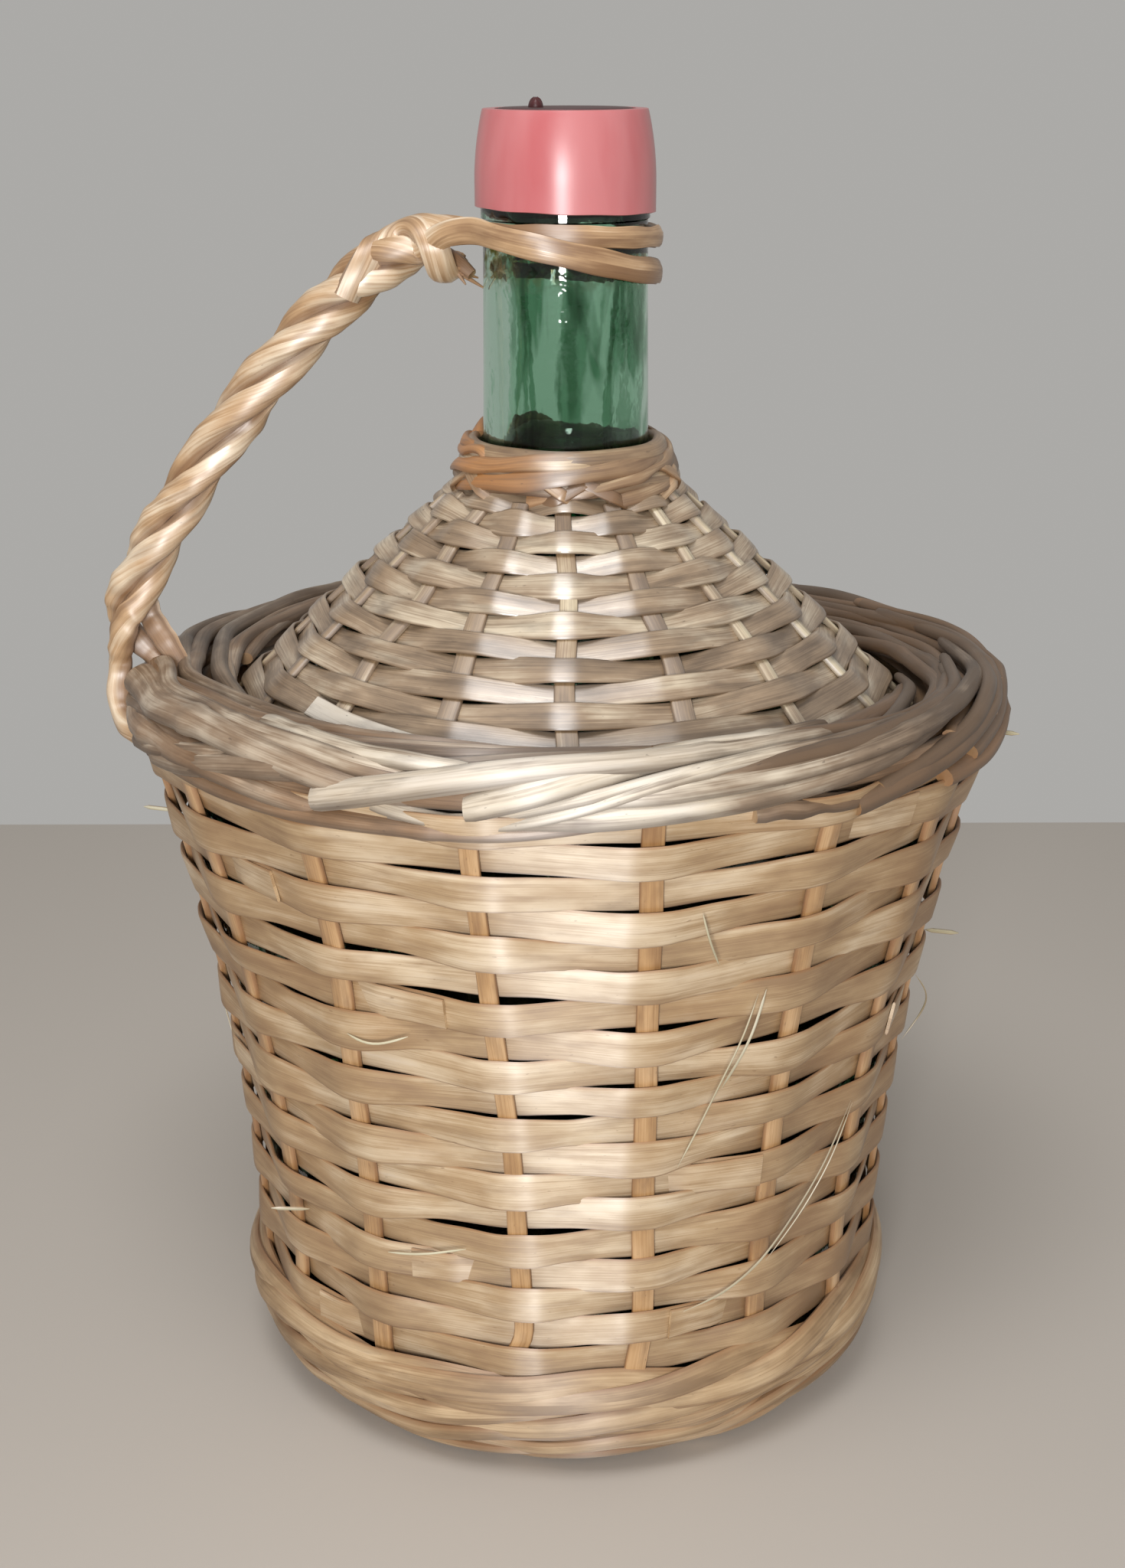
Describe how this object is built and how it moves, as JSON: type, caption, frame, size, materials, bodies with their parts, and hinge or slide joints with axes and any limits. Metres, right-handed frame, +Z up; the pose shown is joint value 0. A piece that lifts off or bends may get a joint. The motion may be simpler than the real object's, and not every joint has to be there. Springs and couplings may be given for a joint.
{
  "type": "wicker demijohn",
  "caption": "Green glass demijohn in a woven willow basket, with a stoppered neck, a plastic cap sleeve and a twisted willow handle tied from the rim to the neck.",
  "frame": {"origin": "middle of the basket's underside, on the surface that the basket stands on, on the bottle's axis", "axes": "+Z up along the bottle's axis, -Y towards the pictured front, -X towards the handle"},
  "size_m": [0.232, 0.2197, 0.3252],
  "materials": {
    "green_glass": "clear gloss, mid green",
    "dark_plastic": "dark maroon, satin",
    "pink_plastic": "pink red, glossy",
    "side_willow": "split willow, light tan, satin",
    "stake_willow": "split willow, orange tan, satin",
    "grey_willow": "split willow, weathered grey brown, satin",
    "rim_willow": "willow rod with bark traces, grey brown",
    "collar_willow": "willow, orange brown",
    "foot_willow": "willow, golden brown",
    "handle_willow": "peeled willow rod, honey, smooth"
  },
  "bodies": {
    "bottle": {"glass_bottle": "green_glass", "base_strip_1": "foot_willow", "base_strip_2": "foot_willow", "foot_rod_1": "foot_willow", "foot_rod_2": "foot_willow", "foot_rod_3": "foot_willow", "foot_rod_4": "foot_willow", "side_stake_1": "stake_willow", "side_stake_2": "stake_willow", "side_stake_3": "stake_willow", "side_stake_4": "stake_willow", "side_stake_5": "stake_willow", "side_stake_6": "stake_willow", "side_stake_7": "stake_willow", "side_stake_8": "stake_willow", "side_weaver_01": "side_willow", "side_weaver_02": "side_willow", "side_weaver_03": "side_willow", "side_weaver_04": "side_willow", "side_weaver_05": "side_willow", "side_weaver_06": "side_willow", "side_weaver_07": "side_willow", "side_weaver_08": "side_willow", "side_weaver_09": "side_willow", "side_weaver_10": "side_willow", "side_weaver_11": "side_willow", "side_weaver_12": "side_willow", "side_weaver_13": "side_willow", "side_weaver_14": "side_willow", "side_weaver_15": "side_willow", "side_weaver_16": "side_willow", "side_weaver_17": "side_willow", "side_weaver_18": "side_willow", "shoulder_frame": "collar_willow", "collar_strand": "collar_willow", "shoulder_weaver_01": "grey_willow", "shoulder_weaver_02": "grey_willow", "shoulder_weaver_03": "grey_willow", "shoulder_weaver_04": "grey_willow", "shoulder_weaver_05": "grey_willow", "shoulder_weaver_06": "grey_willow", "shoulder_weaver_07": "grey_willow", "shoulder_weaver_08": "grey_willow", "shoulder_weaver_09": "grey_willow", "shoulder_weaver_10": "grey_willow", "shoulder_weaver_11": "grey_willow", "shoulder_weaver_12": "grey_willow", "shoulder_weaver_13": "grey_willow", "rim_rod_1": "rim_willow", "rim_rod_2": "rim_willow", "rim_rod_3": "rim_willow", "rim_rod_4": "rim_willow", "rim_rod_5": "rim_willow", "handle_rod_1": "handle_willow", "handle_rod_2": "handle_willow", "handle_rod_3": "handle_willow"},
    "cap": {"cap_sleeve": "pink_plastic"},
    "stopper": {"stopper": "dark_plastic"}
  },
  "joints": [
    {"name": "cap_lift", "type": "slide", "parent": "bottle", "child": "cap", "axis": [0, 0, 1], "range_m": [0, 0.03]},
    {"name": "stopper_pull", "type": "slide", "parent": "bottle", "child": "stopper", "axis": [0, 0, 1], "range_m": [0, 0.03]}
  ]
}
